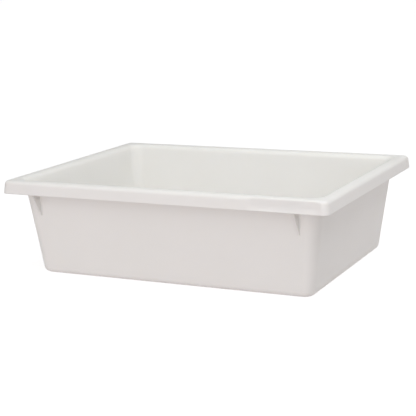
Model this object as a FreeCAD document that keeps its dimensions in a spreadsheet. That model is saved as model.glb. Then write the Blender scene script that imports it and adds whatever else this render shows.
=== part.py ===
"""Deep developing tray: one plastic moulding, drawn whole and then divided into its named zones.

Millimetres. +X runs along the long side, +Y from the front to the back, +Z up. The origin is the centre of
the underside of the floor. The moulding is a drafted tub with a rounded heel, and a rim that turns out into
a flat flange and down into a skirt. Near its right-hand end the front of the skirt has a shallow sunk panel
above a lip. Upright seams across the tub and rim, and one level seam under the rim, divide it into floor,
walls, corners and rim sections that meet face to face. Four thin webs stiffen the rim, two under its front
and two under its back.
"""

import FreeCAD, Part

import math
import os
import re

import Sketcher

Vector = FreeCAD.Vector

# Driving dimensions, mm. An inset is measured inwards, in plan, from the lower edge of the skirt.
DIMENSIONS = {
    "rim_length": 520.0,  # outside, over the lower edge of the skirt
    "rim_width": 400.0,
    "total_height": 148.0,  # underside of the floor to the top of the rim
    "skirt_height": 19.6,
    "skirt_lean": 2.2,  # how far the skirt comes in on its way up
    "skirt_thickness": 2.6,
    "flange_thickness": 3.0,
    "wall_thickness": 3.0,
    "floor_thickness": 3.2,
    "wall_inset_top": 19.0,  # to the wall's outer face, where it would meet the level of the rim's top
    "wall_inset_base": 39.0,  # to the wall's outer face, where it would meet the level of the underside
    "corner_radius_top": 22.0,  # outer face of the wall corners in plan, at the same two levels
    "corner_radius_base": 16.0,
    "rim_corner_radius": 10.0,
    "heel_radius": 10.0,  # outer face, where the walls turn into the floor
    "mouth_radius": 9.0,  # inner face of the wall turning out into the flange
    "rim_edge_radius": 6.0,  # flange turning down into the skirt, outside
    "tip_radius": 0.8,  # lower edge of the skirt
    "rim_seam_depth": 14.0,  # top of the rim down to the level seam between walls and rim
    "rim_seam_inset": 12.0,  # passes down the open gap between skirt and wall
    "block_margin": 10.0,  # how far the dividing blocks stand out past the moulding
    "panel_start": 143.0,  # sunk panel in the front of the skirt, from here along X
    "panel_end": 247.0,
    "panel_foot": 2.0,  # up the skirt's face from its lower edge, above a lip
    "panel_lean": 9.0,  # degrees; more than the skirt's, so that the panel runs out at the rim's edge
    "panel_depth": 0.9,  # at the foot
    "panel_rise": 1.4,  # width of the slope along the foot
    "panel_run": 3.0,  # width of the slopes at the two ends
    "panel_reach": 25.0,  # height of its cutter, past the top of the rim
    "web_x": 208.0,  # middle of the webs under the front and back rims, to either side
    "web_thickness": 2.4,
    "web_drop": 35.0,  # lower edge of the skirt down to the foot of the web
    "web_foot": 0.8,  # width of the foot
    "web_rise": 2.0,  # lower edge of the skirt up to where the web leaves it
    "web_bite": 1.4,  # how far a web's blank reaches into the moulding before it is trimmed
}

# Lengths that follow from them.
DERIVED = {
    "skirt_level": "total_height - skirt_height",
    "hollow_level": "total_height - flange_thickness",
    "wall_slope": "(wall_inset_base - wall_inset_top) / total_height",
    "corner_slope": "(corner_radius_top - corner_radius_base) / total_height",
    "skirt_slope": "skirt_lean / skirt_height",
    "hollow_inset": "skirt_thickness + skirt_slope * (skirt_height - flange_thickness)",
    "hollow_corner": "rim_corner_radius - skirt_thickness",
    "throat_inset": "wall_inset_top + wall_slope * flange_thickness",
    "well_inset_top": "wall_inset_top + wall_thickness",
    "well_inset_floor": "wall_inset_base + wall_thickness - wall_slope * floor_thickness",
    "well_corner_top": "corner_radius_top - wall_thickness",
    "well_corner_floor": "corner_radius_base - wall_thickness + corner_slope * floor_thickness",
    "inner_heel_radius": "heel_radius - wall_thickness",
    "throat_radius": "mouth_radius + wall_thickness",
    "hollow_edge_radius": "rim_edge_radius - flange_thickness",
    "seam_x": "rim_length / 2 - wall_inset_base - corner_radius_base",
    "seam_y": "rim_width / 2 - wall_inset_base - corner_radius_base",
    "block_x": "rim_length / 2 + block_margin",
    "block_y": "rim_width / 2 + block_margin",
    "web_foot_level": "skirt_level - web_drop",
    "web_wall_inset": "wall_inset_top + wall_slope * (skirt_height + web_drop)",
}

# The outline of a web's blank: inset and height of each point, going round from the outer end of the foot.
WEB_POINTS = [
    ("web_wall_inset - web_foot", "web_foot_level"),
    ("skirt_thickness + skirt_slope * web_rise - web_bite", "skirt_level + web_rise"),
    ("hollow_inset - web_bite", "total_height - rim_edge_radius"),
    ("skirt_lean + rim_edge_radius - web_bite", "hollow_level + web_bite"),
    ("throat_inset - web_bite", "hollow_level"),
    ("throat_inset + wall_slope * throat_radius + web_bite", "hollow_level - throat_radius"),
    ("web_wall_inset + web_bite", "web_foot_level"),
]

START, END, CENTRE = 1, 2, 3  # the points of a line or an arc in a sketch
TOLERANCE = 0.01  # mm, for finding edges
VOLUME_SHARE = 0.001  # of the whole, for the zones to add up


def make_sheet(doc):
    """The spreadsheet: one row for each driving or derived length, named by its alias."""
    sheet = doc.addObject("Spreadsheet::Sheet", "dims")
    cells = {alias: str(value) for alias, value in DIMENSIONS.items()}
    cells.update({alias: "=" + formula for alias, formula in DERIVED.items()})
    for row, (alias, content) in enumerate(cells.items(), start=1):
        sheet.set(f"A{row}", alias)
        sheet.set(f"B{row}", content)
        sheet.setAlias(f"B{row}", alias)
        doc.recompute()
    return sheet


def outline(body, name, level, inset, radius):
    """A rounded rectangle on a level plane; level, inset and radius are names in the sheet, None for 0."""
    sketch = body.newObject("Sketcher::SketchObject", name)
    floor_plane = next(f for f in body.Origin.OriginFeatures if f.Role == "XY_Plane")
    sketch.AttachmentSupport = (floor_plane, [""])
    sketch.MapMode = "FlatFace"
    sketch.setExpression("AttachmentOffset.Base.z", f"dims.{level} * 1 mm" if level else "0 mm")

    half_x, half_y, first_radius = 200.0, 150.0, 15.0  # a first shape, which the constraints then size
    for quarter, (side_x, side_y) in enumerate([(1, 1), (-1, 1), (-1, -1), (1, -1)]):
        centre = Vector(side_x * (half_x - first_radius), side_y * (half_y - first_radius), 0)
        circle = Part.Circle(centre, Vector(0, 0, 1), first_radius)
        start = quarter * math.pi / 2
        sketch.addGeometry(Part.ArcOfCircle(circle, start, start + math.pi / 2), False)
    arcs = [sketch.Geometry[i] for i in range(4)]
    for i in range(4):
        line = Part.LineSegment(arcs[i].EndPoint, arcs[(i + 1) % 4].StartPoint)
        sketch.addGeometry(line, False)

    back_line, left_line, front_line, right_line = range(4, 8)
    for i in range(4):
        line = back_line + i
        sketch.addConstraint(Sketcher.Constraint("Tangent", i, END, line, START))
        sketch.addConstraint(Sketcher.Constraint("Tangent", line, END, (i + 1) % 4, START))
        sketch.addConstraint(Sketcher.Constraint("Vertical" if i % 2 else "Horizontal", line))
    for i in range(1, 4):
        sketch.addConstraint(Sketcher.Constraint("Equal", 0, i))
    sketch.addConstraint(Sketcher.Constraint("Symmetric", 0, CENTRE, 2, CENTRE, -1, START))
    sizes = {
        "length": Sketcher.Constraint("DistanceX", left_line, START, right_line, START, 2 * half_x),
        "width": Sketcher.Constraint("DistanceY", front_line, START, back_line, START, 2 * half_y),
        "radius": Sketcher.Constraint("Radius", 0, first_radius),
    }
    inwards = f"dims.{inset}" if inset else "0"
    formulas = {
        "length": f"(dims.rim_length - 2 * {inwards}) * 1 mm",
        "width": f"(dims.rim_width - 2 * {inwards}) * 1 mm",
        "radius": f"dims.{radius} * 1 mm",
    }
    for label, size in sizes.items():
        index = sketch.addConstraint(size)
        sketch.renameConstraint(index, label)
        sketch.setExpression(f"Constraints.{label}", formulas[label])
    return sketch


def loft(body, kind, name, lower, upper):
    """A straight-sided loft between two outlines, each (level, inset, radius); kind adds or subtracts."""
    feature = body.newObject(f"PartDesign::{kind}Loft", name)
    feature.Profile = outline(body, f"{name}_lower", *lower)
    feature.Sections = [outline(body, f"{name}_upper", *upper)]
    feature.Ruled = True
    body.Tip = feature
    body.Document.recompute()
    return feature


def ring(shape, sheet, level, inset):
    """Names of the edges that run round the moulding at this level and this inset."""
    half_x = sheet.rim_length / 2
    half_y = sheet.rim_width / 2
    names = []
    for number, edge in enumerate(shape.Edges, start=1):
        ends = [vertex.Point for vertex in edge.Vertexes]
        at_level = all(abs(p.z - level) < TOLERANCE for p in ends)
        insets = [min(half_x - abs(p.x), half_y - abs(p.y)) for p in ends]
        if at_level and all(abs(i - inset) < TOLERANCE for i in insets):
            names.append(f"Edge{number}")
    return names


def round_ring(body, sheet, name, level, inset, radius):
    """Round the ring of edges at a level and inset."""
    base = body.Tip
    edges = ring(base.Shape, sheet, level, inset)
    if len(edges) != 8:
        raise RuntimeError(f"{name}: expected four sides and four corners, found {len(edges)} edges")
    fillet = body.newObject("PartDesign::Fillet", name)
    fillet.Base = (base, edges)
    fillet.setExpression("Radius", f"dims.{radius} * 1 mm")
    body.Tip = fillet
    body.Document.recompute()
    return fillet


def make_moulding(doc, sheet):
    """The whole moulding: rim block, its hollow underside, the tub, its well, then every rounded edge."""
    body = doc.addObject("PartDesign::Body", "moulding")
    loft(body, "Additive", "rim_block",
         ("skirt_level", None, "rim_corner_radius"),
         ("total_height", "skirt_lean", "rim_corner_radius"))
    loft(body, "Subtractive", "rim_hollow",
         ("skirt_level", "skirt_thickness", "hollow_corner"),
         ("hollow_level", "hollow_inset", "hollow_corner"))
    loft(body, "Additive", "tub",
         (None, "wall_inset_base", "corner_radius_base"),
         ("total_height", "wall_inset_top", "corner_radius_top"))
    loft(body, "Subtractive", "well",
         ("floor_thickness", "well_inset_floor", "well_corner_floor"),
         ("total_height", "well_inset_top", "well_corner_top"))
    round_ring(body, sheet, "outer_heel", 0, sheet.wall_inset_base, "heel_radius")
    round_ring(body, sheet, "inner_heel", sheet.floor_thickness, sheet.well_inset_floor, "inner_heel_radius")
    round_ring(body, sheet, "throat", sheet.hollow_level, sheet.throat_inset, "throat_radius")
    round_ring(body, sheet, "hollow_edge", sheet.hollow_level, sheet.hollow_inset, "hollow_edge_radius")
    round_ring(body, sheet, "mouth", sheet.total_height, sheet.well_inset_top, "mouth_radius")
    round_ring(body, sheet, "rim_edge", sheet.total_height, sheet.skirt_lean, "rim_edge_radius")
    round_ring(body, sheet, "outer_tip", sheet.skirt_level, 0, "tip_radius")
    round_ring(body, sheet, "inner_tip", sheet.skirt_level, sheet.skirt_thickness, "tip_radius")
    return body


def block(doc, name, x_range, y_range, z_range):
    """A dividing block between pairs of expressions in the sheet's names."""
    box = doc.addObject("Part::Box", name)
    for axis, size, (low, high) in zip("xyz", ("Length", "Width", "Height"), (x_range, y_range, z_range)):
        box.setExpression(f"Placement.Base.{axis}", f"({low}) * 1 mm")
        box.setExpression(size, f"(({high}) - ({low})) * 1 mm")
    return box


def boolean(doc, kind, name, base, tool):
    """A Part::Cut or Part::Common of two objects of the document."""
    result = doc.addObject(f"Part::{kind}", name)
    result.Base = base
    result.Tool = tool
    return result


def sink_panel(doc, sheet, moulding):
    """The moulding with the sunk panel cut into the front of its skirt."""
    cutter = doc.addObject("Part::Wedge", "panel_cutter")
    lean = FreeCAD.Rotation(Vector(1, 0, 0), -sheet.panel_lean)
    cutter.Placement = FreeCAD.Placement(Vector(), lean)
    cutter.setExpression("Placement.Base.y",
                         "(dims.skirt_slope * dims.panel_foot - dims.rim_width / 2) * 1 mm")
    cutter.setExpression("Placement.Base.z", "(dims.skirt_level + dims.panel_foot) * 1 mm")
    sides = {
        "Ymin": "-dims.panel_depth", "Ymax": "dims.panel_depth",
        "Xmin": "dims.panel_start - dims.panel_run", "X2min": "dims.panel_start + dims.panel_run",
        "Xmax": "dims.panel_end + dims.panel_run", "X2max": "dims.panel_end - dims.panel_run",
        "Zmin": "-dims.panel_rise", "Z2min": "dims.panel_rise",
        "Zmax": "dims.panel_reach", "Z2max": "dims.panel_reach",
    }
    for side, formula in sides.items():
        cutter.setExpression(side, f"({formula}) * 1 mm")
    return boolean(doc, "Cut", "panelled_moulding", moulding, cutter)


def web_outline(doc, name):
    """The outline of a web's blank, with the inset along the sketch's X and the height along its Y."""
    sketch = doc.addObject("Sketcher::SketchObject", name)
    count = len(WEB_POINTS)
    first_radius = 10.0  # a first shape, a ring of points, which the constraints then size
    turn = 2 * math.pi / count
    first = [Vector(100 - first_radius * math.cos(turn * i), 100 + first_radius * math.sin(turn * i), 0)
             for i in range(count)]
    for i in range(count):
        sketch.addGeometry(Part.LineSegment(first[i], first[(i + 1) % count]), False)
    for i in range(count):
        sketch.addConstraint(Sketcher.Constraint("Coincident", i, END, (i + 1) % count, START))
    for i, (inset, height) in enumerate(WEB_POINTS):
        for kind, distance, formula in (("DistanceX", first[i].x, inset), ("DistanceY", first[i].y, height)):
            index = sketch.addConstraint(Sketcher.Constraint(kind, -1, START, i, START, distance))
            label = f"{kind}_{i}"
            sketch.renameConstraint(index, label)
            for alias in sorted({*DIMENSIONS, *DERIVED}, key=len, reverse=True):
                formula = re.sub(rf"(?<![\w.]){alias}\b", f"dims.{alias}", formula)
            sketch.setExpression(f"Constraints.{label}", f"({formula}) * 1 mm")
    return sketch


def make_webs(doc, moulding):
    """The four webs, one object each, in a list: each is a thin blank trimmed by the moulding."""
    upright = FreeCAD.Rotation(Vector(0, 1, 0), Vector(0, 0, 1), Vector(1, 0, 0), "XYZ")
    webs = []
    for side, turn, out in (("front", 0, "-"), ("back", 180, "")):
        for end, sign in (("left", "-"), ("right", "")):
            name = f"{side}_{end}_web"
            blank = doc.addObject("Part::Extrusion", f"{name}_blank")
            blank.Base = web_outline(doc, f"{name}_outline")
            blank.DirMode = "Normal"
            blank.Solid = True
            blank.Symmetric = True
            blank.setExpression("LengthFwd", "dims.web_thickness * 1 mm")
            turned = FreeCAD.Rotation(Vector(0, 0, 1), turn).multiply(upright)
            blank.Placement = FreeCAD.Placement(Vector(), turned)
            blank.setExpression("Placement.Base.x", f"({sign}dims.web_x) * 1 mm")
            blank.setExpression("Placement.Base.y", f"({out}dims.rim_width / 2) * 1 mm")
            webs.append(boolean(doc, "Cut", name, blank, moulding))
    return webs


def divide(doc, moulding):
    """The zones of the moulding, one object each, in a list."""
    full_height = ("-dims.block_margin", "dims.total_height + dims.block_margin")
    columns = {
        "left": ("-dims.block_x", "-dims.seam_x"),
        "": ("-dims.seam_x", "dims.seam_x"),
        "right": ("dims.seam_x", "dims.block_x"),
    }
    rows = {
        "front": ("-dims.block_y", "-dims.seam_y"),
        "": ("-dims.seam_y", "dims.seam_y"),
        "back": ("dims.seam_y", "dims.block_y"),
    }
    tub_block = block(
        doc, "tub_block",
        ("dims.rim_seam_inset - dims.rim_length / 2", "dims.rim_length / 2 - dims.rim_seam_inset"),
        ("dims.rim_seam_inset - dims.rim_width / 2", "dims.rim_width / 2 - dims.rim_seam_inset"),
        ("-dims.block_margin", "dims.total_height - dims.rim_seam_depth"))
    tub = boolean(doc, "Common", "tub_zones", moulding, tub_block)
    rim = boolean(doc, "Cut", "rim_zones", moulding, tub_block)

    nodes = []
    for row, y_range in rows.items():
        for column, x_range in columns.items():
            place = "_".join(word for word in (row, column) if word)
            zone = block(doc, f"zone_{place or 'middle'}", x_range, y_range, full_height)
            if not place:
                nodes.append(boolean(doc, "Common", "floor_panel", tub, zone))
                continue
            kind = "corner" if row and column else "wall"
            rim_kind = "rim_corner" if row and column else "rim"
            nodes.append(boolean(doc, "Common", f"{place}_{kind}", tub, zone))
            nodes.append(boolean(doc, "Common", f"{place}_{rim_kind}", rim, zone))
    return nodes


def check(doc, zones, webs, moulding):
    """Stop unless every object computed, every node is one sound solid, and the zones are the moulding."""
    for obj in doc.Objects:
        if "Invalid" in obj.State or "Error" in obj.State:
            raise RuntimeError(f"{obj.Name} did not compute: {obj.State}")
    for node in zones + webs:
        if node.Shape.isNull() or not node.Shape.isValid() or len(node.Shape.Solids) != 1:
            raise RuntimeError(f"{node.Label} is not one valid solid")
    total = sum(node.Shape.Volume for node in zones)
    if abs(total - moulding.Shape.Volume) > VOLUME_SHARE * moulding.Shape.Volume:
        raise RuntimeError("the zones do not add up to the moulding")


def main():
    doc = FreeCAD.newDocument("developing_tray")
    sheet = make_sheet(doc)
    moulding = sink_panel(doc, sheet, make_moulding(doc, sheet))
    zones = divide(doc, moulding)
    webs = make_webs(doc, moulding)
    doc.recompute()
    check(doc, zones, webs, moulding)
    os.makedirs("parts", exist_ok=True)
    for node in zones + webs:
        node.Shape.exportStep(f"parts/{node.Label}.step")
        print(f"{node.Label:24s} {node.Shape.Volume / 1000:8.2f} cm3")
    print(f"{'whole moulding':24s} {moulding.Shape.Volume / 1000:8.2f} cm3", moulding.Shape.BoundBox)


main()
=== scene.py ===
"""Deep developing tray in satin white plastic: one continuous moulding on a white studio floor.

Metres. The tray is a closed section, from the middle of the underside, up the outside of the wall, round the
rim and down the inside to the middle of the floor, carried round a rounded rectangle by a geometry tree. The
skirt's front has a shallow sunk panel, and four thin webs under the rim are joined into the same skin.
"""

import math

import bpy
from mathutils import Matrix, Vector


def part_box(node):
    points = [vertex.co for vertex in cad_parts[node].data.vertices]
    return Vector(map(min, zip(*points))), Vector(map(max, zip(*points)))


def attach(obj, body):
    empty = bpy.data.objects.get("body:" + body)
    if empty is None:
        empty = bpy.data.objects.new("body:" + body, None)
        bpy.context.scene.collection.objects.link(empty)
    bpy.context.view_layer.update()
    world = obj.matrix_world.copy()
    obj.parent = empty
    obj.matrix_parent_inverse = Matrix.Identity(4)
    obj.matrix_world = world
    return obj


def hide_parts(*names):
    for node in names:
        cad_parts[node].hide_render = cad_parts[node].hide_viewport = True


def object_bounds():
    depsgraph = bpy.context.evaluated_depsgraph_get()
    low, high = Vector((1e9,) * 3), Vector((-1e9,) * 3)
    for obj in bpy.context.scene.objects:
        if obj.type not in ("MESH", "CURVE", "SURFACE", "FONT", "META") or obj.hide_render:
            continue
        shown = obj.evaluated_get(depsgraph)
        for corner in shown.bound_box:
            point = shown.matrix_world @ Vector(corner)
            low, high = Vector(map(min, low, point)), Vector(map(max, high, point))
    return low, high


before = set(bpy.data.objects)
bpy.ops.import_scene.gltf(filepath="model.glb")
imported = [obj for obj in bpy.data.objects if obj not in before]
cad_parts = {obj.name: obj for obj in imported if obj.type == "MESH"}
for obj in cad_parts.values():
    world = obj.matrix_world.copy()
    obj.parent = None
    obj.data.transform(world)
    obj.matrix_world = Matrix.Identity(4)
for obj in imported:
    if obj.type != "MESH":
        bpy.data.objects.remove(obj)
cad_low, cad_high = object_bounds()

MM = 0.001

# Sizes of the moulding, in metres. An inset is measured inwards, in plan, from the skirt's lower edge.
SIZES = {
    "Half Length": 260.0 * MM,
    "Half Width": 200.0 * MM,
    "Height": cad_high.z,
    "Skirt Height": 19.6 * MM,
    "Skirt Lean": 2.2 * MM,
    "Skirt Thickness": 2.6 * MM,
    "Flange Thickness": 3.0 * MM,
    "Wall Thickness": 3.0 * MM,
    "Floor Thickness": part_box("floor_panel")[1].z,
    "Wall Inset Top": 19.0 * MM,
    "Wall Inset Base": 39.0 * MM,
    "Corner Radius Top": 22.0 * MM,
    "Corner Radius Base": 16.0 * MM,
    "Rim Corner Radius": 10.0 * MM,
    "Heel Radius": 10.0 * MM,
    "Mouth Radius": 9.0 * MM,
    "Rim Edge Radius": 6.0 * MM,
    "Tip Radius": 0.8 * MM,
    "Row Spacing": 9.0 * MM,
    # the sunk panel near the right-hand end of the skirt's front: its ends along X, its foot up the face
    "Panel Start": 143.0 * MM,
    "Panel End": 247.0 * MM,
    "Panel Foot": 2.0 * MM,
    "Panel Depth": 0.9 * MM,
    "Panel Rise": 1.4 * MM,
    "Panel Run": 3.0 * MM,
    # the webs under the rim, two at the front and two at the back
    "Web X": 208.0 * MM,
    "Web Thickness": 2.4 * MM,
    "Web Drop": 35.0 * MM,
    "Web Foot": 0.8 * MM,
    "Web Rise": 2.0 * MM,
    "Web Bite": 0.5 * MM,
}
COUNTS = {
    "Fillet Steps": 8,
    "Corner Steps": 12,
    "Side Steps": 120,
}
PANEL_LEAN = math.radians(9.0)  # more than the skirt's, so that the panel runs out at the rim's edge
QUARTER_TURN = math.pi / 2
MERGE_DISTANCE = 0.01 * MM


def add(tree, kind, inputs=(), **settings):
    """A node of this kind; inputs are linked if they are sockets and set if they are values."""
    node = tree.nodes.new(kind)
    for name, value in settings.items():
        setattr(node, name, value)
    for key, value in inputs.items() if isinstance(inputs, dict) else enumerate(inputs):
        value = getattr(value, "socket", value)
        if isinstance(value, bpy.types.NodeSocket):
            tree.links.new(value, node.inputs[key])
        else:
            node.inputs[key].default_value = value
    return node


class Number:
    """A number in a geometry tree, which can be added to, multiplied and so on like any other."""

    def __init__(self, tree, socket):
        self.tree = tree
        self.socket = socket

    def _with(self, operation, *others):
        node = add(self.tree, "ShaderNodeMath", (self, *others), operation=operation)
        return Number(self.tree, node.outputs[0])

    def __add__(self, other):
        return self._with("ADD", other)

    def __sub__(self, other):
        return self._with("SUBTRACT", other)

    def __mul__(self, other):
        return self._with("MULTIPLY", other)

    def __truediv__(self, other):
        return self._with("DIVIDE", other)

    def floor(self):
        return self._with("FLOOR")

    def at_most(self, other):
        return self._with("MINIMUM", other)

    def at_least(self, other):
        return self._with("MAXIMUM", other)

    def cos(self):
        return self._with("COSINE")

    def sin(self):
        return self._with("SINE")

    def blend(self, other, share):
        """This number where share is 0, the other where share is 1."""
        return self + (other - self) * share


def number_inputs(tree):
    """The tree's named inputs for every size and count, as a dict of Numbers."""
    for name, size in SIZES.items():
        socket = tree.interface.new_socket(name, in_out="INPUT", socket_type="NodeSocketFloat")
        socket.subtype = "DISTANCE"
        socket.default_value = size
    for name, count in COUNTS.items():
        socket = tree.interface.new_socket(name, in_out="INPUT", socket_type="NodeSocketInt")
        socket.default_value = count
    entry = tree.nodes.new("NodeGroupInput")
    return {name: Number(tree, entry.outputs[name]) for name in [*SIZES, *COUNTS]}


def add_levels(size):
    """The lengths that follow from the sizes, added to them under names of their own."""
    size["Wall Slope"] = (size["Wall Inset Base"] - size["Wall Inset Top"]) / size["Height"]
    size["Skirt Slope"] = size["Skirt Lean"] / size["Skirt Height"]
    size["Skirt Level"] = size["Height"] - size["Skirt Height"]
    size["Hollow Level"] = size["Height"] - size["Flange Thickness"]
    size["Hollow Inset"] = (size["Skirt Thickness"]
                            + size["Skirt Slope"] * (size["Hollow Level"] - size["Skirt Level"]))
    size["Throat Inset"] = size["Wall Inset Top"] + size["Wall Slope"] * size["Flange Thickness"]
    size["Throat Radius"] = size["Mouth Radius"] + size["Wall Thickness"]
    return size


def choose(tree, options, data_type):
    """One of the options for each point, by the point's index."""
    node = add(tree, "GeometryNodeIndexSwitch", data_type=data_type)
    while len(node.index_switch_items) < len(options):
        node.index_switch_items.new()
    index = tree.nodes.new("GeometryNodeInputIndex")
    tree.links.new(index.outputs[0], node.inputs[0])
    for socket, option in zip(node.inputs[1:], options):
        option = getattr(option, "socket", option)
        if isinstance(option, bpy.types.NodeSocket):
            tree.links.new(option, socket)
        else:
            socket.default_value = option
    return node.outputs[0]


def tray_section(tree, size):
    """The closed section's path as a curve: inset along X, height along Z, with every turn rounded."""
    mouth_inset = size["Wall Inset Top"] + size["Wall Thickness"]
    floor_inset = (size["Wall Inset Base"] + size["Wall Thickness"]
                   - size["Wall Slope"] * size["Floor Thickness"])
    hollow_radius = size["Rim Edge Radius"] - size["Flange Thickness"]
    inner_heel_radius = size["Heel Radius"] - size["Wall Thickness"]

    def up_skirt(climb):
        """A point on the skirt's outer face, this far above its lower edge."""
        return size["Skirt Slope"] * climb, size["Skirt Level"] + climb, 0.0, 1.0, 0.1

    # inset, height, rounding, share of the rim's plan (1) or the tub's (0), and how much the turn is rubbed
    turns = [
        (size["Half Width"], 0.0, 0.0, 0.0, 0.0),  # middle of the underside
        (size["Wall Inset Base"], 0.0, size["Heel Radius"], 0.0, 1.0),  # outer heel
        (size["Throat Inset"], size["Hollow Level"], size["Throat Radius"], 0.0, 0.0),
        (size["Hollow Inset"], size["Hollow Level"], hollow_radius, 1.0, 0.0),
        (size["Skirt Thickness"], size["Skirt Level"], size["Tip Radius"], 1.0, 0.4),
        (0.0, size["Skirt Level"], size["Tip Radius"], 1.0, 0.8),
        up_skirt(size["Panel Foot"]),
        up_skirt(size["Panel Foot"] + size["Panel Rise"]),
        (size["Skirt Lean"], size["Height"], size["Rim Edge Radius"], 1.0, 0.9),
        (mouth_inset, size["Height"], size["Mouth Radius"], 0.0, 0.4),
        (floor_inset, size["Floor Thickness"], inner_heel_radius, 0.0, 0.3),
        (size["Half Width"], size["Floor Thickness"], 0.0, 0.0, 0.0),  # middle of the floor
    ]
    places = [add(tree, "ShaderNodeCombineXYZ", (inset, 0.0, height)).outputs[0]
              for inset, height, *_ in turns]
    radii, rim_shares, rubs = ([turn[k] for turn in turns] for k in (2, 3, 4))

    points = add(tree, "GeometryNodePoints",
                 {"Count": len(turns), "Position": choose(tree, places, "VECTOR")})
    path = add(tree, "GeometryNodePointsToCurves", (points.outputs[0],))
    for name, options in (("rim_share", rim_shares), ("rub", rubs)):
        path = add(tree, "GeometryNodeStoreNamedAttribute",
                   {"Geometry": path.outputs[0], "Name": name, "Value": choose(tree, options, "FLOAT")},
                   domain="POINT", data_type="FLOAT")
    rounded = add(tree, "GeometryNodeFilletCurve",
                  {"Curve": path.outputs[0], "Count": size["Fillet Steps"],
                   "Radius": choose(tree, radii, "FLOAT")}, mode="POLY")

    index = Number(tree, tree.nodes.new("GeometryNodeInputIndex").outputs[0])
    here = tree.nodes.new("GeometryNodeInputPosition")
    ahead = add(tree, "GeometryNodeFieldAtIndex", {"Index": index + 1, "Value": here.outputs[0]},
                domain="POINT", data_type="FLOAT_VECTOR")
    gap = add(tree, "ShaderNodeVectorMath", (here.outputs[0], ahead.outputs[0]), operation="DISTANCE")
    cuts = (Number(tree, gap.outputs["Value"]) / size["Row Spacing"]).floor()
    return add(tree, "GeometryNodeSubdivideCurve", {"Curve": rounded.outputs[0], "Cuts": cuts})


def rubbed(tree):
    """How much each point of the section is rubbed: its turn's share where the path bends, none on flats."""
    index = Number(tree, tree.nodes.new("GeometryNodeInputIndex").outputs[0])
    tangent = tree.nodes.new("GeometryNodeInputTangent").outputs[0]
    beside = [add(tree, "GeometryNodeFieldAtIndex", {"Index": index + step, "Value": tangent},
                  domain="POINT", data_type="FLOAT_VECTOR").outputs[0] for step in (-1, 1)]
    alike = add(tree, "ShaderNodeVectorMath", beside, operation="DOT_PRODUCT")
    full_bend = 0.02  # from here on a turn counts as fully bent
    bend = ((Number(tree, alike.outputs["Value"]) * -1 + 1) / full_bend).at_most(1.0)
    rub = add(tree, "GeometryNodeInputNamedAttribute", {"Name": "rub"}, data_type="FLOAT")
    return bend * Number(tree, rub.outputs[0])


def whole_moulding(tree, size):
    """The section carried round the plan as a closed skin."""
    section = tray_section(tree, size)
    rows = add(tree, "GeometryNodeAttributeDomainSize", (section.outputs[0],), component="CURVE")
    row_count = Number(tree, rows.outputs["Point Count"])
    per_quarter = size["Corner Steps"] + size["Side Steps"]
    grid = add(tree, "GeometryNodeMeshGrid",
               {"Vertices X": per_quarter * 4 + 1, "Vertices Y": row_count})

    index = Number(tree, tree.nodes.new("GeometryNodeInputIndex").outputs[0])
    turn = (index / row_count).floor()
    row = index - turn * row_count

    def read(value, data_type):
        node = add(tree, "GeometryNodeSampleIndex",
                   {"Geometry": section.outputs[0], "Value": value, "Index": row},
                   domain="POINT", data_type=data_type)
        return node.outputs[0]

    place = read(tree.nodes.new("GeometryNodeInputPosition").outputs[0], "FLOAT_VECTOR")
    separate = add(tree, "ShaderNodeSeparateXYZ", (place,))
    inset = Number(tree, separate.outputs["X"])
    height = Number(tree, separate.outputs["Z"])
    share = add(tree, "GeometryNodeInputNamedAttribute", {"Name": "rim_share"}, data_type="FLOAT")
    rim_share = Number(tree, read(share.outputs[0], "FLOAT"))
    rub = Number(tree, read(rubbed(tree), "FLOAT"))

    # How far in the corner's centre lies, which sets the plan radius of the corner at this row.
    centre_base = size["Wall Inset Base"] + size["Corner Radius Base"]
    centre_top = size["Wall Inset Top"] + size["Corner Radius Top"]
    tub_centre = centre_base.blend(centre_top, height / size["Height"])
    climb = height - size["Skirt Level"]
    rim_centre = size["Rim Corner Radius"] + size["Skirt Slope"] * climb
    centre = tub_centre.blend(rim_centre, rim_share).at_least(inset)
    radius = centre - inset

    quarter = (turn / per_quarter).floor()
    within = turn - quarter * per_quarter
    bend = (within / size["Corner Steps"]).at_most(1.0)
    along = (within - size["Corner Steps"]).at_least(0.0) / size["Side Steps"]
    angle = (quarter + bend) * QUARTER_TURN
    corner = (quarter + 0.5) * QUARTER_TURN
    next_corner = corner + QUARTER_TURN
    to_unit_square = math.sqrt(2)
    side_x = corner.cos().blend(next_corner.cos(), along) * to_unit_square
    side_y = corner.sin().blend(next_corner.sin(), along) * to_unit_square
    x = side_x * (size["Half Length"] - centre) + radius * angle.cos()
    y = side_y * (size["Half Width"] - centre) + radius * angle.sin()

    # Where the sunk panel's surface lies further in than the rim's, it takes its place.
    up_panel = climb - size["Panel Foot"]
    share_sunk = ((x - size["Panel Start"]) / size["Panel Run"]).at_most(
        (size["Panel End"] - x) / size["Panel Run"]).at_most(up_panel / size["Panel Rise"]).at_most(1.0)
    panel_inset = (size["Skirt Slope"] * size["Panel Foot"] + up_panel * math.tan(PANEL_LEAN)
                   + size["Panel Depth"] * share_sunk)
    at_front = Number(tree, add(tree, "ShaderNodeMath", (y, 0.0), operation="LESS_THAN").outputs[0])
    y = y + (panel_inset - inset).at_least(0.0) * at_front

    skin = add(tree, "GeometryNodeSetPosition",
               {"Geometry": grid.outputs[0],
                "Position": add(tree, "ShaderNodeCombineXYZ", (x, y, height)).outputs[0]})
    skin = add(tree, "GeometryNodeStoreNamedAttribute",
               {"Geometry": skin.outputs[0], "Name": "rubbed", "Value": rub},
               domain="POINT", data_type="FLOAT")
    return add(tree, "GeometryNodeMergeByDistance", {"Geometry": skin.outputs[0], "Distance": MERGE_DISTANCE})


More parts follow.
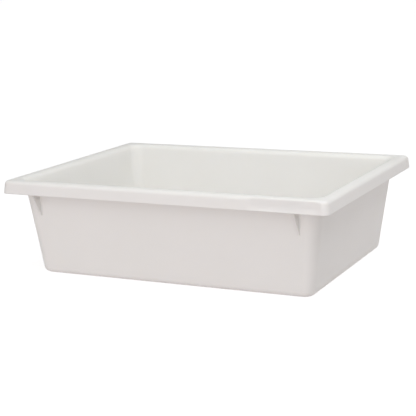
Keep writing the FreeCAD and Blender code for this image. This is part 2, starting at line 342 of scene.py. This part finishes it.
def four_webs(tree, size):
    """A thin upright web set at four places under the rim, as instances."""
    foot_level = size["Skirt Level"] - size["Web Drop"]
    wall_inset = size["Wall Inset Top"] + size["Wall Slope"] * (size["Skirt Height"] + size["Web Drop"])
    bite = size["Web Bite"]
    # inset and height of each point; the edges lie a bite deep inside the skirt, flange and wall
    outline = [
        (wall_inset - size["Web Foot"], foot_level),
        (size["Skirt Thickness"] + size["Skirt Slope"] * size["Web Rise"] - bite,
         size["Skirt Level"] + size["Web Rise"]),
        (size["Hollow Inset"] - bite, size["Height"] - size["Rim Edge Radius"]),
        (size["Skirt Lean"] + size["Rim Edge Radius"] - bite, size["Hollow Level"] + bite),
        (size["Throat Inset"] - bite - bite, size["Hollow Level"]),
        (size["Throat Inset"] + size["Wall Slope"] * size["Throat Radius"] + bite,
         size["Hollow Level"] - size["Throat Radius"]),
        (wall_inset + bite, foot_level),
    ]
    places = [add(tree, "ShaderNodeCombineXYZ", (inset, height, 0.0)).outputs[0] for inset, height in outline]
    points = add(tree, "GeometryNodePoints",
                 {"Count": len(outline), "Position": choose(tree, places, "VECTOR")})
    path = add(tree, "GeometryNodePointsToCurves", (points.outputs[0],))
    closed = add(tree, "GeometryNodeSetSplineCyclic", {"Geometry": path.outputs[0], "Cyclic": True})
    sheet = add(tree, "GeometryNodeFillCurve", {"Curve": closed.outputs[0]}, mode="NGONS")
    up = add(tree, "ShaderNodeCombineXYZ", (0.0, 0.0, 1.0))
    raised = add(tree, "GeometryNodeExtrudeMesh",
                 {"Mesh": sheet.outputs[0], "Offset": up.outputs[0], "Offset Scale": size["Web Thickness"],
                  "Individual": False}, mode="FACES")
    under = add(tree, "GeometryNodeFlipFaces", {"Mesh": sheet.outputs[0]})
    joined = tree.nodes.new("GeometryNodeJoinGeometry")
    for part in (raised, under):
        tree.links.new(part.outputs[0], joined.inputs[0])
    solid = add(tree, "GeometryNodeMergeByDistance",
                {"Geometry": joined.outputs[0], "Distance": MERGE_DISTANCE})
    centred = add(tree, "GeometryNodeTransform", {
        "Geometry": solid.outputs[0],
        "Translation": add(tree, "ShaderNodeCombineXYZ", (size["Web Thickness"] * -0.5, 0.0, 0.0)).outputs[0],
        "Rotation": (QUARTER_TURN, 0.0, QUARTER_TURN)})

    index = Number(tree, tree.nodes.new("GeometryNodeInputIndex").outputs[0])
    at_back = (index / 2).floor()
    along = ((index - at_back * 2) * 2 - 1) * size["Web X"]
    out = (at_back * 2 - 1) * size["Half Width"]
    spots = add(tree, "GeometryNodePoints", {
        "Count": 4, "Position": add(tree, "ShaderNodeCombineXYZ", (along, out, 0.0)).outputs[0]})
    turned = add(tree, "ShaderNodeCombineXYZ", (0.0, 0.0, at_back * math.pi))
    return add(tree, "GeometryNodeInstanceOnPoints",
               {"Points": spots.outputs[0], "Instance": centred.outputs[0], "Rotation": turned.outputs[0]})


def tray_tree(material):
    """The geometry tree that makes the moulding, joins the webs to it and paints it."""
    tree = bpy.data.node_groups.new("tray_moulding", "GeometryNodeTree")
    tree.interface.new_socket("Geometry", in_out="OUTPUT", socket_type="NodeSocketGeometry")
    size = add_levels(number_inputs(tree))
    smooth = add(tree, "GeometryNodeSetShadeSmooth", {"Geometry": whole_moulding(tree, size).outputs[0]})
    webs = add(tree, "GeometryNodeRealizeInstances", (four_webs(tree, size).outputs[0],))
    flat = add(tree, "GeometryNodeSetShadeSmooth", {"Geometry": webs.outputs[0], "Shade Smooth": False})
    union = add(tree, "GeometryNodeMeshBoolean", operation="UNION", solver="EXACT")
    for part in (flat, smooth):
        tree.links.new(part.outputs[0], union.inputs["Mesh 2"])
    real = add(tree, "GeometryNodeRealizeInstances", (union.outputs["Mesh"],))
    painted = add(tree, "GeometryNodeSetMaterial", {"Geometry": real.outputs[0], "Material": material})
    add(tree, "NodeGroupOutput", (painted.outputs[0],))
    return tree


def grow(name, tree):
    """A plain mesh piece made by a geometry tree."""
    seed = bpy.data.objects.new(name + "_seed", bpy.data.meshes.new(name + "_seed"))
    bpy.context.scene.collection.objects.link(seed)
    modifier = seed.modifiers.new("tree", "NODES")
    modifier.node_group = tree
    for item in tree.interface.items_tree:
        if item.in_out == "INPUT":
            modifier[item.identifier] = item.default_value
    evaluated = seed.evaluated_get(bpy.context.evaluated_depsgraph_get())
    mesh = bpy.data.meshes.new_from_object(evaluated)
    mesh.name = name
    bpy.data.objects.remove(seed)
    piece = bpy.data.objects.new(name, mesh)
    bpy.context.scene.collection.objects.link(piece)
    return piece


def satin_white_plastic():
    """Moulded polyethylene: satin, slightly translucent, with a fine grain and faint handling marks."""
    material = bpy.data.materials.new("satin_white_plastic")
    material.use_nodes = True
    tree = material.node_tree
    shader = tree.nodes["Principled BSDF"]
    where = add(tree, "ShaderNodeTexCoord").outputs["Object"]

    clouds = add(tree, "ShaderNodeTexNoise", {"Vector": where, "Scale": 9.0, "Detail": 3.0})
    colour = add(tree, "ShaderNodeMix", {"Factor": clouds.outputs["Fac"]}, data_type="RGBA")
    colour.inputs["A"].default_value = (0.84, 0.834, 0.800, 1)
    colour.inputs["B"].default_value = (0.88, 0.872, 0.845, 1)
    tree.links.new(colour.outputs["Result"], shader.inputs["Base Color"])

    handling = add(tree, "ShaderNodeTexNoise", {"Vector": where, "Scale": 35.0, "Detail": 6.0})
    rubbed_share = add(tree, "ShaderNodeAttribute", attribute_name="rubbed")
    rubbing = add(tree, "ShaderNodeMath", (rubbed_share.outputs["Fac"], handling.outputs["Fac"]),
                  operation="MULTIPLY")
    base = add(tree, "ShaderNodeMapRange", {"Value": handling.outputs["Fac"], "To Min": 0.42, "To Max": 0.54})
    rough = add(tree, "ShaderNodeMath", (rubbing.outputs[0], 0.25, base.outputs[0]), operation="MULTIPLY_ADD")
    tree.links.new(rough.outputs[0], shader.inputs["Roughness"])

    grain = add(tree, "ShaderNodeTexNoise", {"Vector": where, "Scale": 1400.0, "Detail": 2.0})
    swell = add(tree, "ShaderNodeTexNoise", {"Vector": where, "Scale": 14.0, "Detail": 1.0})
    fine = add(tree, "ShaderNodeBump", {"Height": grain.outputs["Fac"], "Strength": 0.08, "Distance": 0.0001})
    broad = add(tree, "ShaderNodeBump",
                {"Height": swell.outputs["Fac"], "Strength": 0.25, "Distance": 0.0008,
                 "Normal": fine.outputs[0]})
    tree.links.new(broad.outputs[0], shader.inputs["Normal"])

    shader.inputs["Specular IOR Level"].default_value = 0.35
    shader.inputs["Subsurface Weight"].default_value = 0.5
    shader.inputs["Subsurface Radius"].default_value = (1.0, 0.95, 0.88)
    shader.inputs["Subsurface Scale"].default_value = 0.008
    return material


def tray():
    """The moulding, in place of every zone and web of the frame."""
    piece = grow("tray_moulding", tray_tree(satin_white_plastic()))
    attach(piece, "root")
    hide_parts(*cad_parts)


def surround():
    """A pale surround in bands of height, each with its own brightness to every side of the tray."""
    beneath = 0.30
    # brightness of the bands between, towards the front, the right, the back and the left
    below = (1.13, 0.21, 0.96, 0.06)
    level = (1.00, 0.66, 0.80, 0.05)
    high = (1.34, 0.07, 0.16, 0.10)
    overhead = 0.46
    # where one band fades into the next, as the height of a direction of length one
    below_starts = (-0.95, -0.6)
    level_starts = (-0.04, 0.04)
    high_starts = (0.3, 0.6)
    overhead_starts = (0.75, 0.95)

    world = bpy.data.worlds.new("studio_surround")
    bpy.context.scene.world = world
    world.use_nodes = True
    tree = world.node_tree
    direction = add(tree, "ShaderNodeTexCoord").outputs["Generated"]
    parts = add(tree, "ShaderNodeSeparateXYZ", (direction,))
    x, y, z = (Number(tree, parts.outputs[axis]) for axis in "XYZ")
    flat = x * x + y * y + 0.00001
    shares = [toward.at_least(0.0) * toward.at_least(0.0) / flat for toward in (y * -1, x, y, x * -1)]

    def brightness(band):
        return sum((share * value for share, value in zip(shares[1:], band[1:])), shares[0] * band[0])

    def above(start, end):
        node = add(tree, "ShaderNodeMapRange", {"Value": z, "From Min": start, "From Max": end},
                   interpolation_type="SMOOTHSTEP")
        return Number(tree, node.outputs[0])

    sides = above(*below_starts)
    light = (sides * -1 + 1) * beneath + sides * brightness(below)
    light = light.blend(brightness(level), above(*level_starts))
    light = light.blend(brightness(high), above(*high_starts))
    top = above(*overhead_starts)
    light = light * (top * -1 + 1) + top * overhead
    background = tree.nodes["Background"]
    tree.links.new(light.socket, background.inputs["Strength"])
    warm = add(tree, "ShaderNodeMix", {"Factor": above(*level_starts).socket}, data_type="RGBA")
    warm.inputs["A"].default_value = (1.06, 0.955, 0.965, 1)
    warm.inputs["B"].default_value = (1, 1, 1, 1)
    tree.links.new(warm.outputs["Result"], background.inputs["Color"])


def softbox(name, place, width, watts):
    """A square soft light over the tray."""
    data = bpy.data.lights.new(name, "AREA")
    data.shape = "SQUARE"
    data.size = width
    data.energy = watts
    lamp = bpy.data.objects.new(name, data)
    lamp.location = place
    lamp.rotation_mode = "QUATERNION"
    aim = Vector((0.1, -0.1, 0.1))
    lamp.rotation_quaternion = (aim - lamp.location).to_track_quat("-Z", "Y")
    bpy.context.scene.collection.objects.link(lamp)


def studio():
    """Two soft lights, and a wide floor that glows a little and doesn't light the tray."""
    softbox("side_softbox", (0.7, -0.3, 1.3), 0.7, 5.9)
    softbox("top_softbox", (0.1, -0.2, 1.2), 0.7, 2.3)
    bpy.ops.mesh.primitive_plane_add(size=40)
    floor = bpy.context.object
    floor.name = "studio_floor"
    floor.visible_diffuse = False
    floor.visible_shadow = False
    material = bpy.data.materials.new("studio_white")
    material.use_nodes = True
    shader = material.node_tree.nodes["Principled BSDF"]
    shader.inputs["Base Color"].default_value = (0.4, 0.4, 0.4, 1)
    shader.inputs["Roughness"].default_value = 1.0
    shader.inputs["Specular IOR Level"].default_value = 0.0
    shader.inputs["Emission Color"].default_value = (1, 1, 1, 1)
    shader.inputs["Emission Strength"].default_value = 0.82
    floor.data.materials.append(material)


def camera():
    """A long lens to the front right, a little above the rim, turned slightly about its own axis."""
    azimuth = math.radians(25.376)
    elevation = math.radians(11.780)
    roll = math.radians(-1.507)
    lens = 103.89
    right_shift, drop, distance = 0.01201, 0.08143, 1.90330  # the tray's origin as the camera sees it
    data = bpy.data.cameras.new("camera")
    data.lens = lens
    data.sensor_width = 36.0
    data.clip_start, data.clip_end = 0.05, 100
    eye = bpy.data.objects.new("camera", data)
    back = Vector((math.sin(azimuth) * math.cos(elevation),
                   -math.cos(azimuth) * math.cos(elevation),
                   math.sin(elevation)))
    turn = back.to_track_quat("Z", "Y").to_matrix() @ Matrix.Rotation(roll, 3, "Z")
    origin_seen = Vector((right_shift, -drop, -distance))
    eye.matrix_world = Matrix.Translation(-(turn @ origin_seen)) @ turn.to_4x4()
    bpy.context.scene.collection.objects.link(eye)
    bpy.context.scene.camera = eye


tray()
surround()
studio()
camera()
bpy.context.scene.view_settings.view_transform = "Standard"
